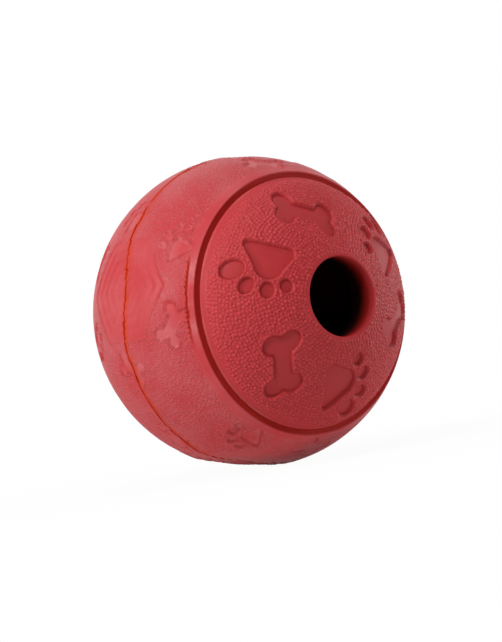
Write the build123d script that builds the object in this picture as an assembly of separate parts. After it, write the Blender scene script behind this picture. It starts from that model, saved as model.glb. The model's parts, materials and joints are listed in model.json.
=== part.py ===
"""Treat dispensing ball of moulded natural rubber, in millimetres.

Two half shells meet at a bonded seam in the XZ plane. The front half carries the treat mouth,
whose axis is -Y. A rubber partition with round windows is pinched between the halves.
The origin is the middle of the ball.
"""
from build123d import *
import os
from math import asin, cos, degrees, radians, sin, sqrt

# Ball and walls
ball_diameter = 70.0
wall_thickness = 7.5
rear_wall_thickness = 7.3
collar_latitude = 28.0
overrun = 4.0

# Groove around each cap, and how far its two lips lie below the ball's sphere
groove_latitude = 34.3
groove_width = 1.2
groove_depth = 1.2
groove_lip_radius = 0.3
band_lip_drop = 0.3
cap_lip_drop = 0.75

# Treat mouth
mouth_diameter = 17.5
mouth_edge_radius = 0.6
mouth_inner_radius = 1.0

# Bonded seam and partition
cement_thickness = 0.3
seat_depth = 1.4
seat_width = 2.0
seat_clearance = 0.1
window_count = 3
window_diameter = 16.0
window_rim = 5.4
first_window_angle = 90.0

# Nested hexagon panels on the band
panel_count = 4
first_panel_angle = 74.7
panel_corner_radius = 12.85
terrace_count = 5
terrace_width = 2.45
terrace_step = 0.28

# Bones, as shares of their length: lobe radius, lobes' spread, bar's width and lean of the ends
cap_bone_shares = (0.156, 0.149, 0.283, 0.2)
band_bone_shares = (0.152, 0.213, 0.36, 0.0)

# Paws, as shares of their reach: the pad's three corners as place and radius, each toe's reach and size
cap_pad_shares = ((0.17, 0.03, 0.42), (-0.35, 0.44, 0.18), (-0.12, -0.70, 0.11))
cap_toe_shares = ((1.06, 0.72, 0.55), (1.0, 0.50, 0.40), (0.91, 0.45, 0.40), (0.92, 0.38, 0.36))
cap_toe_turns = (-46.0, -12.0, 24.0, 59.0)
band_pad_shares = ((0.15, 0.08, 0.32), (-0.35, 0.73, 0.17), (-0.40, -0.48, 0.24))
band_toe_shares = ((0.97, 0.50, 0.42), (1.0, 0.50, 0.48), (0.96, 0.62, 0.48), (1.0, 0.52, 0.46))
band_toe_turns = (-53.0, -22.0, 20.0, 58.0)

# Recesses on each cap
cap_recess_depth = 0.55
cap_bone_length = 14.1
cap_bone_distance = 19.5
cap_bone_angles = (97.0, 219.9, 339.2)
cap_bone_turn = -38.0
cap_paw_reach = 7.8
cap_paw_distance = 18.6
cap_paw_angles = (23.8, 144.1, 265.5)
cap_paw_turn = -6.0

# Recesses on the band, one bone and one paw to each panel
band_recess_depth = 0.4
band_bone_length = 9.1
band_bone_latitude = 23.8
band_bone_offset_angle = 15.3
band_bone_turn = -33.0
band_paw_reach = 4.1
band_paw_latitude = 25.0
band_paw_offset_angle = -16.5
band_paw_turn = 218.6

# Where the revolved faces close, clear of every recess
closing_angle = 125.0

ball_radius = ball_diameter / 2
cavity_radius = ball_radius - wall_thickness
rear_cavity_radius = ball_radius - rear_wall_thickness
mouth_radius = mouth_diameter / 2
seat_radius = cavity_radius + seat_width
disc_radius = seat_radius - seat_clearance
window_pitch_radius = disc_radius - window_rim - window_diameter / 2
seam_half = cement_thickness / 2
seat_face = seam_half + seat_depth

# The cap is a rounder dome: a circle through the groove's inner lip and the ball's pole
groove_half_angle = degrees(asin(groove_width / 2 / ball_radius))
cap_edge_latitude = groove_latitude + groove_half_angle
band_edge_latitude = groove_latitude - groove_half_angle
cap_lip_reach = ball_radius - cap_lip_drop
cap_edge_radius = cap_lip_reach * cos(radians(cap_edge_latitude))
cap_edge_height = cap_lip_reach * sin(radians(cap_edge_latitude))
dome_centre = (ball_radius**2 - cap_lip_reach**2) / (2 * (ball_radius - cap_edge_height))
dome_radius = ball_radius - dome_centre


def polar(radius, latitude):
    """Point of the half profile: X is the distance from the axis, Y the height above the seam."""
    return Vector(radius * cos(radians(latitude)), radius * sin(radians(latitude)))


def dome_height(distance):
    """Height of the cap's dome above the seam at a distance from the axis."""
    return dome_centre + sqrt(dome_radius**2 - distance**2)


def rounded(profile, corner, radius):
    """Round the corner of a flat profile that lies nearest to a point."""
    nearest = profile.vertices().sort_by_distance(corner)[0]
    return fillet(nearest, radius)


def half_profile(mouth):
    """Half section of one shell, from the seam up to the pole, with or without the treat mouth.

    The wall without a mouth is a little thinner, so that the ball balances near its middle.
    """
    collar_edge = polar(ball_radius - band_lip_drop, band_edge_latitude)
    cap_edge = polar(cap_lip_reach, cap_edge_latitude)
    floor_reach = cap_lip_reach - groove_depth
    wall_foot = floor_reach + groove_width / 2
    dome_middle_distance = cap_edge_radius / 2
    pole = Vector(0, ball_radius)
    outline = [
        CenterArc((0, 0), ball_radius, 0, collar_latitude),
        Line(polar(ball_radius, collar_latitude), collar_edge),
        Line(collar_edge, polar(wall_foot, band_edge_latitude)),
        ThreePointArc(
            polar(wall_foot, band_edge_latitude),
            polar(floor_reach, groove_latitude),
            polar(wall_foot, cap_edge_latitude),
        ),
        Line(polar(wall_foot, cap_edge_latitude), cap_edge),
        ThreePointArc(cap_edge, (dome_middle_distance, dome_height(dome_middle_distance)), pole),
        Line(pole, (0, 0)),
        Line((0, 0), (ball_radius, 0)),
    ]
    profile = Sketch() + make_face(outline)
    profile = rounded(profile, collar_edge, groove_lip_radius)
    profile = rounded(profile, cap_edge, groove_lip_radius)
    profile -= Circle(cavity_radius if mouth else rear_cavity_radius)
    profile -= Rectangle(2 * seat_radius, 2 * seat_face)
    profile -= Rectangle(2 * (ball_radius + overrun), 2 * seam_half)
    if mouth:
        profile -= Rectangle(2 * mouth_radius, 2 * (ball_radius + overrun))
        rim = Vector(mouth_radius, dome_height(mouth_radius))
        throat = Vector(mouth_radius, sqrt(cavity_radius**2 - mouth_radius**2))
        profile = rounded(profile, rim, mouth_edge_radius)
        profile = rounded(profile, throat, mouth_inner_radius)
    return profile


def around_axis(angle):
    """Turn about the mouth's axis that carries +X towards +Z by an angle."""
    return Rot(Y=-angle)


def sunk(outline, surface_radius, depth):
    """Cutter at +X for an outline sunk into a sphere, with a floor that follows the sphere."""
    face_plane = Plane(origin=(surface_radius - overrun, 0, 0), x_dir=(0, 0, 1), z_dir=(1, 0, 0))
    block = extrude(face_plane * outline, 2 * overrun)
    return block - Rot(Z=180) * Sphere(surface_radius - depth)


def on_band(cutter, latitude, angle):
    """Carry a cutter from +X to a place on the front half's band."""
    return around_axis(angle) * Rot(Z=-latitude) * cutter


def on_cap(cutter, distance, angle):
    """Carry a cutter from +X to a place on the front half's cap."""
    latitude = 90 - degrees(asin(distance / dome_radius))
    return around_axis(angle) * Pos(0, -dome_centre, 0) * Rot(Z=-latitude) * cutter


def bone_outline(length, shares, turn):
    """Bone: a bar with two round lobes at each end, whose ends may lean."""
    lobe_share, spread_share, bar_share, lean_share = shares
    lobe_radius = length * lobe_share
    lobe_along = length / 2 - lobe_radius
    lobe_across = length * spread_share
    lobes = [
        Pos(along - lean_share * across, across) * Circle(lobe_radius)
        for along in (-lobe_along, lobe_along)
        for across in (-lobe_across, lobe_across)
    ]
    bar = Rectangle(2 * lobe_along, length * bar_share)
    return Rot(Z=turn) * (bar + lobes)


def paw_outlines(reach, pad_shares, toe_shares, toe_turns, turn):
    """Paw print: the hull of three circles for the pad, and an oval for each toe."""
    rounds = [
        Pos(along * reach, across * reach) * Circle(radius_share * reach)
        for along, across, radius_share in pad_shares
    ]
    outlines = [Rot(Z=turn) * make_hull([edge for circle in rounds for edge in circle.edges()])]
    for (reach_share, length_share, width_share), toe_turn in zip(toe_shares, toe_turns):
        toe = Ellipse(length_share * reach / 2, width_share * reach / 2)
        outlines.append(Rot(Z=turn + toe_turn) * Pos(reach_share * reach, 0) * toe)
    return outlines


def panel_cutter(angle):
    """Nested hexagons, corner to the poles, each one a step deeper than the one around it."""
    cutter = Part()
    for terrace in range(terrace_count):
        hexagon = RegularPolygon(panel_corner_radius - terrace * terrace_width, 6, rotation=90)
        cutter += sunk(hexagon, ball_radius, (terrace + 1) * terrace_step)
    return around_axis(angle) * cutter


def cap_recesses():
    """Cutters for the bones and paws of one cap."""
    bone = sunk(bone_outline(cap_bone_length, cap_bone_shares, cap_bone_turn), dome_radius, cap_recess_depth)
    outlines = paw_outlines(cap_paw_reach, cap_pad_shares, cap_toe_shares, cap_toe_turns, cap_paw_turn)
    paw = [sunk(outline, dome_radius, cap_recess_depth) for outline in outlines]
    cutters = [on_cap(bone, cap_bone_distance, angle) for angle in cap_bone_angles]
    return cutters + [on_cap(piece, cap_paw_distance, angle) for angle in cap_paw_angles for piece in paw]


def band_recesses():
    """Cutters for the bones and paws of one half's band, beside its panels."""
    bone_shape = bone_outline(band_bone_length, band_bone_shares, band_bone_turn)
    bone = sunk(bone_shape, ball_radius, band_recess_depth)
    outlines = paw_outlines(band_paw_reach, band_pad_shares, band_toe_shares, band_toe_turns, band_paw_turn)
    paw = [sunk(outline, ball_radius, band_recess_depth) for outline in outlines]
    cutters = []
    for angle in panel_angles:
        cutters.append(on_band(bone, band_bone_latitude, angle + band_bone_offset_angle))
        cutters += [on_band(piece, band_paw_latitude, angle + band_paw_offset_angle) for piece in paw]
    return cutters


def half_shell(mouth):
    """One half shell in the front half's place, with its panels and recesses."""
    revolved = revolve(half_profile(mouth), Axis.Y)
    blank = around_axis(closing_angle) * Rot(X=180) * revolved
    return blank - panels - recesses


def labyrinth():
    """Partition pinched in the seam, with round windows for the treats."""
    disc = Cylinder(disc_radius, 2 * seat_face)
    windows = [
        Rot(Z=first_window_angle + k * 360 / window_count)
        * Pos(window_pitch_radius, 0)
        * Cylinder(window_diameter / 2, 2 * (seat_face + overrun))
        for k in range(window_count)
    ]
    return Rot(X=90) * (disc - windows)


def cement():
    """Bonding layer between the halves, from the partition's seat out to the surface of the ball."""
    ring = Cylinder(ball_radius, cement_thickness) - Cylinder(seat_radius, cement_thickness)
    return Rot(X=90) * ring - panels


panel_angles = [first_panel_angle + k * 360 / panel_count for k in range(panel_count)]
panels = [panel_cutter(angle) for angle in panel_angles]
recesses = cap_recesses() + band_recesses()

# The rear half is the same moulding without its mouth, turned over about the axis through a panel
turned_over = around_axis(first_panel_angle) * Rot(X=180) * around_axis(-first_panel_angle)

pieces = {
    "front_half_shell": half_shell(mouth=True),
    "rear_half_shell": turned_over * half_shell(mouth=False),
    "seam_cement": cement(),
    "labyrinth_disc": labyrinth(),
}

os.makedirs("parts", exist_ok=True)
for name, piece in pieces.items():
    piece.label = name
    export_step(piece, f"parts/{name}.step")
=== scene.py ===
"""Treat dispensing ball of red moulded rubber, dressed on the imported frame, in metres.

Each half shell is one closed surface: rings around the mouth's axis, pushed in and out by its relief and
grain. Angles run around the axis from +X towards +Z. Latitudes and heights run from the seam towards a pole.
"""
import json
from collections import namedtuple
from functools import partial

import bpy
import numpy as np
from mathutils import Matrix, Vector


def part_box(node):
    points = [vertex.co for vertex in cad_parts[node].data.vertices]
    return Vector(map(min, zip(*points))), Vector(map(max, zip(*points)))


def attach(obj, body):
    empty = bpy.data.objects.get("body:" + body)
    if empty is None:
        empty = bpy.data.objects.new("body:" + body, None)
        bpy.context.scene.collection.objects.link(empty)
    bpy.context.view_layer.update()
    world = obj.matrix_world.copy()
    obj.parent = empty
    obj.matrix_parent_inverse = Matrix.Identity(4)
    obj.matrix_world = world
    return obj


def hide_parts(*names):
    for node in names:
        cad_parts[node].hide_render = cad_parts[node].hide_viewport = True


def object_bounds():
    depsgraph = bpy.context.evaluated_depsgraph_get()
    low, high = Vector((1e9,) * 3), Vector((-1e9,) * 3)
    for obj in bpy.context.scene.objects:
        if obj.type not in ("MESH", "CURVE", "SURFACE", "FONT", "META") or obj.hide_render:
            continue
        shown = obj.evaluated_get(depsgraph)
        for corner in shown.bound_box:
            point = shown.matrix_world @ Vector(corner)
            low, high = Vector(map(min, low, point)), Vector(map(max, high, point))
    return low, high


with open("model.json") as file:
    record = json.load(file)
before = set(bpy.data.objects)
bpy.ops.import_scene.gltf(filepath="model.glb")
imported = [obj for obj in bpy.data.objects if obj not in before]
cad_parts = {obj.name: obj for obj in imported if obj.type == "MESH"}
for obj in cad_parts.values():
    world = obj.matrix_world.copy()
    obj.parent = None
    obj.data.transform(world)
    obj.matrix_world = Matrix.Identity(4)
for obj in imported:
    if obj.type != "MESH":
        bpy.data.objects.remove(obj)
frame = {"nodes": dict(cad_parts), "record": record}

cad_low, cad_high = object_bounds()
mounts = {mount["name"]: mount for mount in frame["record"]["mounts"]}
_, disc_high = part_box("labyrinth_disc")

MM = 0.001
TURN = 2 * np.pi

# Ball and walls
BALL_RADIUS = 35.0 * MM
WALL = 7.5 * MM
REAR_WALL = 7.3 * MM
COLLAR_LATITUDE = np.radians(28.0)
CAVITY_RADIUS = BALL_RADIUS - WALL
REAR_CAVITY_RADIUS = BALL_RADIUS - REAR_WALL

# Groove around each cap: its outer lip lies on the ball's sphere, its inner lip below it
GROOVE_LATITUDE = np.radians(34.5)
GROOVE_DEPTH = 0.65 * MM
GROOVE_FLOOR_HALF = 0.41 * MM
GROOVE_LIP_HALF = 0.53 * MM
GROOVE_REACH = 0.9 * MM
CAP_LIP_DROP = 1.0 * MM

# The collar is straight, from the ball's sphere to the groove's outer lip: its distance from the ball's
# middle is 1 over the sum of a cosine and a sine
BAND_EDGE = GROOVE_LATITUDE - GROOVE_LIP_HALF / BALL_RADIUS
COLLAR_ENDS = np.array([
    [BALL_RADIUS * np.cos(COLLAR_LATITUDE), BALL_RADIUS * np.sin(COLLAR_LATITUDE)],
    [BALL_RADIUS * np.cos(BAND_EDGE), BALL_RADIUS * np.sin(BAND_EDGE)],
])
COLLAR_COSINE, COLLAR_SINE = np.linalg.solve(COLLAR_ENDS, [1.0, 1.0])

# The cap's dome is the circle through the groove's inner lip and the ball's pole
CAP_LIP_REACH = BALL_RADIUS - CAP_LIP_DROP
CAP_EDGE_HEIGHT = CAP_LIP_REACH * np.sin(GROOVE_LATITUDE + GROOVE_LIP_HALF / BALL_RADIUS)
DOME_CENTRE = (BALL_RADIUS**2 - CAP_LIP_REACH**2) / (2 * (BALL_RADIUS - CAP_EDGE_HEIGHT))
DOME_RADIUS = BALL_RADIUS - DOME_CENTRE

# Full shoulder of the cap, by its rise over the dome and the latitudes of its start, crest and end
SHOULDER_RISE = 0.5 * MM
SHOULDER_START, SHOULDER_CREST, SHOULDER_END = np.radians((36.0, 42.0, 62.0))

# Mouth, seat of the partition and seam
MOUTH_RADIUS = mounts["treat_mouth"]["dims"]["r_mm"] * MM
MOUTH_ROUND = 0.32 * MM
# Painted shade darkens the mouth's wall over this length down towards the cavity
MOUTH_SHADE_FADE = 5.0 * MM
SEAT_CLEARANCE = 0.1 * MM
SEAT_RADIUS = disc_high.x + SEAT_CLEARANCE
SEAT_FACE = disc_high.y
SEAM_HALF = 0.15 * MM

# Hexagon panels on the band
PANEL_ANGLES = (74.7, 164.7, 254.7, 344.7)
PANEL_CORNER = 12.85 * MM
TERRACE_COUNT = 5
TERRACE_WIDTH = 2.45 * MM
TERRACE_STEP = 0.28 * MM

# Bones, as shares of their length: lobe radius, lobes' spread, bar's width and lean of the ends
CAP_BONE_SHARES = (0.156, 0.149, 0.283, 0.2)
BAND_BONE_SHARES = (0.152, 0.213, 0.36, 0.0)

# How much of a bone's length rounds the notch between two lobes, and blends the lobes with the bar
BONE_NOTCH_SHARE = 0.036
BONE_BLEND_SHARE = 0.05

# Paws, as shares of their reach: each of the pad's three corners as place and radius, and each toe's reach,
# length and width
CAP_PAD_SHARES = ((0.17, 0.10, 0.42), (-0.35, 0.44, 0.20), (-0.12, -0.70, 0.12))
CAP_TOE_SHARES = ((1.06, 0.72, 0.55), (1.0, 0.50, 0.40), (0.91, 0.45, 0.40), (0.92, 0.38, 0.36))
CAP_TOE_TURNS = (-46.0, -12.0, 24.0, 59.0)
BAND_PAD_SHARES = ((0.15, 0.08, 0.32), (-0.35, 0.73, 0.17), (-0.40, -0.48, 0.24))
BAND_TOE_SHARES = ((0.97, 0.50, 0.42), (1.0, 0.50, 0.48), (0.96, 0.62, 0.48), (1.0, 0.52, 0.46))
BAND_TOE_TURNS = (-53.0, -22.0, 20.0, 58.0)

# Where the bones and paws lie
CAP_RECESS_DEPTH = 0.68 * MM
CAP_BONE_LENGTH = 14.1 * MM
CAP_BONE_DISTANCES = (19.4 * MM, 19.5 * MM, 19.7 * MM)
CAP_BONE_ANGLES = (97.0, 219.9, 339.2)
CAP_BONE_TURN = -38.0
CAP_PAW_REACH = 7.8 * MM
CAP_PAW_DISTANCES = (19.0 * MM, 18.3 * MM, 18.9 * MM)
CAP_PAW_ANGLES = (23.8, 144.1, 265.5)
CAP_PAW_TURN = -6.0
BAND_RECESS_DEPTH = 0.5 * MM
BAND_BONE_LENGTH = 9.1 * MM
BAND_BONE_LATITUDE = 23.8
BAND_BONE_OFFSET = 15.3
BAND_BONE_TURN = -33.0
BAND_PAW_REACH = 4.1 * MM
BAND_PAW_LATITUDE = 25.0
BAND_PAW_OFFSET = -16.3
BAND_PAW_TURN = 218.6

# Faint bone and paw across the seam, beside each panel
SEAM_RECESS_DEPTH = 0.22 * MM
SEAM_BONE_LENGTH = 8.2 * MM
SEAM_BONE_LATITUDE = -0.8
SEAM_BONE_OFFSET = 28.6
SEAM_BONE_TURN = 60.0
SEAM_PAW_LATITUDE = -2.7
SEAM_PAW_OFFSET = 61.1
SEAM_PAW_TURN = 218.0

# Widths of the recesses' walls, and the rise around them by its height, place and width
CAP_WALL = 0.29 * MM
BAND_WALL = 0.26 * MM
TERRACE_WALL = 0.25 * MM
RIM_RISE = 0.11 * MM
RIM_PLACE = 0.4 * MM
RIM_WIDTH = 0.2 * MM

# How far from its middle a recess can reach, as a share of its size, and the margin around it
PAW_EXTENT_SHARE = 1.5
HEXAGON_EXTENT_SHARE = 1.2
RECESS_MARGIN = 3.0 * MM
FAR_AWAY = 9.0 * MM

# Pebble grain of the caps
PEBBLE_PITCH = 0.88 * MM
PEBBLE_ROW = 0.78 * MM
PEBBLE_HEIGHT = 0.31 * MM
PEBBLE_JITTER_SHARE = 0.55
PEBBLE_VALLEY_SHARE = 0.48
PEBBLE_FALL_SHARE = 0.3
PEBBLE_EDGE_SHARE = 0.7
PEBBLE_LOW_SHARE = 0.75
PEBBLE_SPREAD_SHARE = 0.5
PEBBLE_WAVE_SHARE = 0.7
PEBBLE_WAVELENGTH = 11.0 * MM
CAP_START = GROOVE_LATITUDE + GROOVE_REACH / BALL_RADIUS

# Spacing of the mesh: steps around a ring and between rings, numbers of rows, and rows placed one by one
FRONT_CAP_STEP = 0.228 * MM
REAR_CAP_STEP = 0.25 * MM
HIGH_BAND_STEP = 0.4 * MM
LOW_BAND_STEP = 0.5 * MM
FINE_BAND_LATITUDE = np.radians(13.0)
TRIM_STEP = 0.2 * MM
CAVITY_STEP = 1.2 * MM
SEAT_STEP = 1.0 * MM
LAND_STEP = 0.6 * MM
RIM_STEP = 0.3 * MM
MOUTH_WALL_STEP = 0.5 * MM
CAVITY_ROWS = 28
LIP_ROWS = 4
RIM_ROWS = 8
MOUTH_WALL_ROWS = 13
LAND_ROWS = np.array([1.0, 2.2]) * MM
SEAM_ROWS = np.array([0.0, 0.12, 0.28, 0.5]) * MM
TRIM_ROWS = np.array([-0.9, -0.75, -0.6, -0.45, -0.3, -0.15, 0.0, 0.12, 0.24, 0.36]) * MM
GROOVE_ROWS = np.array([
    -0.9, -0.75, -0.63, -0.57, -0.51, -0.45, -0.24, 0.0, 0.24, 0.45, 0.51, 0.57, 0.63, 0.75,
]) * MM

# Ragged trim line beside the groove: its place, and the widths of its notch, teeth, stain and strip
TRIM_LATITUDE = np.radians(30.65)
TRIM_ANGLES = np.radians((150.5, 196.0))
TRIM_FADE_IN, TRIM_FADE_OUT = 0.12, 0.3
TRIM_DEPTH = 0.3 * MM
TRIM_TOOTH = 1.1 * MM
TRIM_HOOK_SLOPE = 1.6
TRIM_SWAY = 0.15 * MM
TRIM_THIN_WIDTH = 0.1 * MM
TRIM_TOOTH_WIDTH = 0.6 * MM
TRIM_INNER_WIDTH = 0.2 * MM
TRIM_EDGE = 0.1 * MM
TRIM_STAIN_REACH = 0.9 * MM
TRIM_STAIN_FADE = 0.5 * MM
TRIM_STRIP_FADE = 0.2 * MM

# Where grain, wear and sheen begin, and the width over which they reach full strength
EDGE_GRAIN = (0.1 * MM, 0.28 * MM)
CAP_GRAIN = (1.6 * MM, 1.0 * MM)
MOUTH_GRAIN = (0.35 * MM, 0.6 * MM)
BAND_GRAIN = (2.0 * MM, 1.2 * MM)
SEAM_GRAIN = (0.3 * MM, 1.0 * MM)
TRIM_SETTLING = (1.2 * MM, 0.8 * MM)
UNDERSIDE_FADE = (-31.0 * MM, 14.0 * MM)
BOTTOM_WEAR = (-33.0 * MM, 4.0 * MM)
SHEEN_LATITUDES = (0.25, 0.05)

# Depth left at the worn bottom, sheen left on the underside, and sheen of the band and the cap
WORN_SHARE = 0.3
UNDERSIDE_SHARE = 0.15
BAND_SHEEN_SHARE = 0.65
CAP_SHEEN_SHARE = 0.5

# Painted light and shade in the red: its lightness on the cap, less the painted shade on a recess's floor,
# and its lightness on the band's underside, less the painted shade higher up the band
CAP_LIGHT_SHARE = 0.42
FLOOR_SHADE_SHARE = 0.2
LOW_LIGHT_SHARE = 1.0
ABOVE_SHADE_SHARE = 0.34

# Amounts of pale bloom on the cap and the band, where it also paints sheen, and how much painted highlight
# the trim's strip and painted sheen the band's recess floors add as more bloom
CAP_BLOOM = 0.1
BAND_BLOOM = 1.0
STRIP_HIGHLIGHT_BLOOM = 2.5
RECESS_SHEEN_BLOOM = 1.6

# Unevenness of the surface, dip at the seam, stain of the cement, and dark creases of painted shade along the
# foot of the recesses' walls
UNEVEN_HEIGHT = 0.04 * MM
UNEVEN_WAVELENGTH = 14.0 * MM
SEAM_DIP = 0.12 * MM
SEAM_DIP_REACH = 0.25 * MM
FRONT_STAIN_REACH = 1.3 * MM
REAR_STAIN_REACH = 0.5 * MM
STAIN_WAVELENGTH = 5.0 * MM
STAIN_SHARE = 0.75
STAIN_DRIFT_SHARE = 0.9
TRIM_STAIN_SHARE = 0.4
CREASE_PLACE = 0.1 * MM
CREASE_WIDTH = 0.16 * MM
LOW_CREASE_SHARE = 0.9
CREASE_FALL_SHARE = 0.6
TRIM_NOTCH_SHADE_SHARE = 0.8
WALL_PLACE = 0.15 * MM
WALL_FADE = 0.4 * MM
FLOOR_FADE = 0.2 * MM
BLOOM_FADE = 0.3 * MM
# How quickly the painted shade reaches full strength across the groove and down the mouth
GROOVE_SHADE_SPREAD = 2.0
MOUTH_SHADE_SPREAD = 3.0

# Cement bead in the seam: points around, depth under the surface, and its unevenness by amount and wavelength
BEAD_POINTS = 1600
BEAD_TURNS = np.radians([-90.0, -50.0, 0.0, 50.0, 90.0])
BEAD_SINK = 0.1 * MM
BEAD_HIDDEN = 0.4 * MM
BEAD_PROUD = 0.15 * MM
BEAD_PROUD_DRIFT = 0.06 * MM
BEAD_PROUD_WAVELENGTH = 6.0 * MM
BEAD_PROUD_RAGGED = 0.06 * MM
BEAD_HALF_WIDTH = 0.34 * MM
BEAD_SHORT_DRIFT = 0.25 * MM
BEAD_SHORT_WAVELENGTH = 4.0 * MM
BEAD_LONG_DRIFT = 0.3 * MM
BEAD_LONG_WAVELENGTH = 14.0 * MM
BEAD_WIDTH_RAGGED = 0.14 * MM
BEAD_SWAY_DRIFT = 0.16 * MM
BEAD_SWAY_WAVELENGTH = 11.0 * MM
BEAD_SWAY_RAGGED = 0.08 * MM

# Seeds of the repeatable draws, and the number of waves in a drift
FRONT_SEED, REAR_SEED = 11, 57
STAIN_SEED = 43
TRIM_SWAY_SEED, TRIM_TOOTH_SEED = 71, 73
BEAD_RAGGED_SEED, BEAD_SHIFT_SEED = 3, 5
BEAD_PROUD_SEED, BEAD_SHORT_SEED, BEAD_LONG_SEED, BEAD_SWAY_SEED = 31, 37, 39, 41
DRIFT_WAVES = 5


def smooth(x):
    """Smooth step: 0 below 0, 1 above 1, and 3x squared less 2x cubed between."""
    x = np.clip(x, 0.0, 1.0)
    return x * x * (3.0 - 2.0 * x)


def ramp(x, start, width):
    """Smooth step that leaves 0 at a start and reaches 1 a width further on."""
    return smooth((x - start) / width)


def hashed(row, column, seed):
    """Repeatable numbers from 0 to 1 for pairs of whole numbers, by mixing their bits."""
    bits = (row * 374761393 + column * 668265263 + seed * 974634777) & 0xFFFFFFFF
    bits = ((bits ^ (bits >> 13)) * 1274126177) & 0xFFFFFFFF
    bits = ((bits ^ (bits >> 16)) * 2246822519) & 0xFFFFFFFF
    return (bits ^ (bits >> 15)) / 4294967296.0


def drift(points, wavelength, seed):
    """Slow unevenness from -1 to 1: the mean of a few sine waves in scattered directions."""
    draws = np.random.default_rng(seed)
    waves = draws.normal(size=(DRIFT_WAVES, 3))
    waves *= TURN / wavelength / np.linalg.norm(waves, axis=1)[:, None]
    phases = draws.uniform(0, TURN, DRIFT_WAVES)
    return np.sin(points @ waves.T + phases).mean(axis=1)


def groove_share(latitude):
    """1 on the groove's floor, 0 outside its lips, with a smooth wall between."""
    across = BALL_RADIUS * np.abs(latitude - GROOVE_LATITUDE)
    return 1 - smooth((across - GROOVE_FLOOR_HALF) / (GROOVE_LIP_HALF - GROOVE_FLOOR_HALF))


def outer_radius(latitude):
    """Distance of the moulded surface from the ball's middle: the sphere, the straight collar, the groove,
    and the rounder dome with its shoulder, which is a smooth step less a longer smooth step."""
    collar = 1 / (COLLAR_COSINE * np.cos(latitude) + COLLAR_SINE * np.sin(latitude))
    band = np.where(latitude < COLLAR_LATITUDE, BALL_RADIUS, collar)
    dome = DOME_CENTRE * np.sin(latitude)
    dome = dome + np.sqrt(DOME_RADIUS**2 - (DOME_CENTRE * np.cos(latitude)) ** 2)
    shoulder = ramp(latitude, SHOULDER_START, SHOULDER_CREST - SHOULDER_START)
    shoulder = shoulder - ramp(latitude, SHOULDER_CREST, SHOULDER_END - SHOULDER_CREST)
    dome = dome + SHOULDER_RISE * shoulder
    on_dome = smooth(0.5 + (latitude - GROOVE_LATITUDE) * BALL_RADIUS / (2 * GROOVE_LIP_HALF))
    return band + (dome - band) * on_dome - GROOVE_DEPTH * groove_share(latitude)


def pebble_count(row):
    """Pebbles in a row around the cap: the row's length over the pitch."""
    latitude = np.clip(CAP_START + (row + 0.5) * PEBBLE_ROW / BALL_RADIUS, 0.0, np.pi / 2)
    around = TURN * outer_radius(latitude) * np.cos(latitude)
    return np.maximum(np.round(around / PEBBLE_PITCH), 3).astype(np.int64)


# A row's inside is its share of the painted shade that darkens the cavity and the mouth's wall
Rows = namedtuple("Rows", "radius height count outer inside")


def plain_rows(radius, height, column, inside=1.0):
    """Rows without relief; each ring has as many points as its length needs, and a pole has one."""
    radius, height, inside = np.broadcast_arrays(np.atleast_1d(radius), np.atleast_1d(height), inside)
    count = np.maximum(np.round(TURN * radius / column), 1).astype(np.int64)
    return Rows(radius, height, count, np.zeros(len(radius)), inside)


def outside_rows(latitudes, column):
    """Rows of the moulded outside at given latitudes."""
    distance = outer_radius(latitudes)
    rows = plain_rows(distance * np.cos(latitudes), distance * np.sin(latitudes), column, 0.0)
    return rows._replace(outer=np.ones(len(latitudes)))


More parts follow.
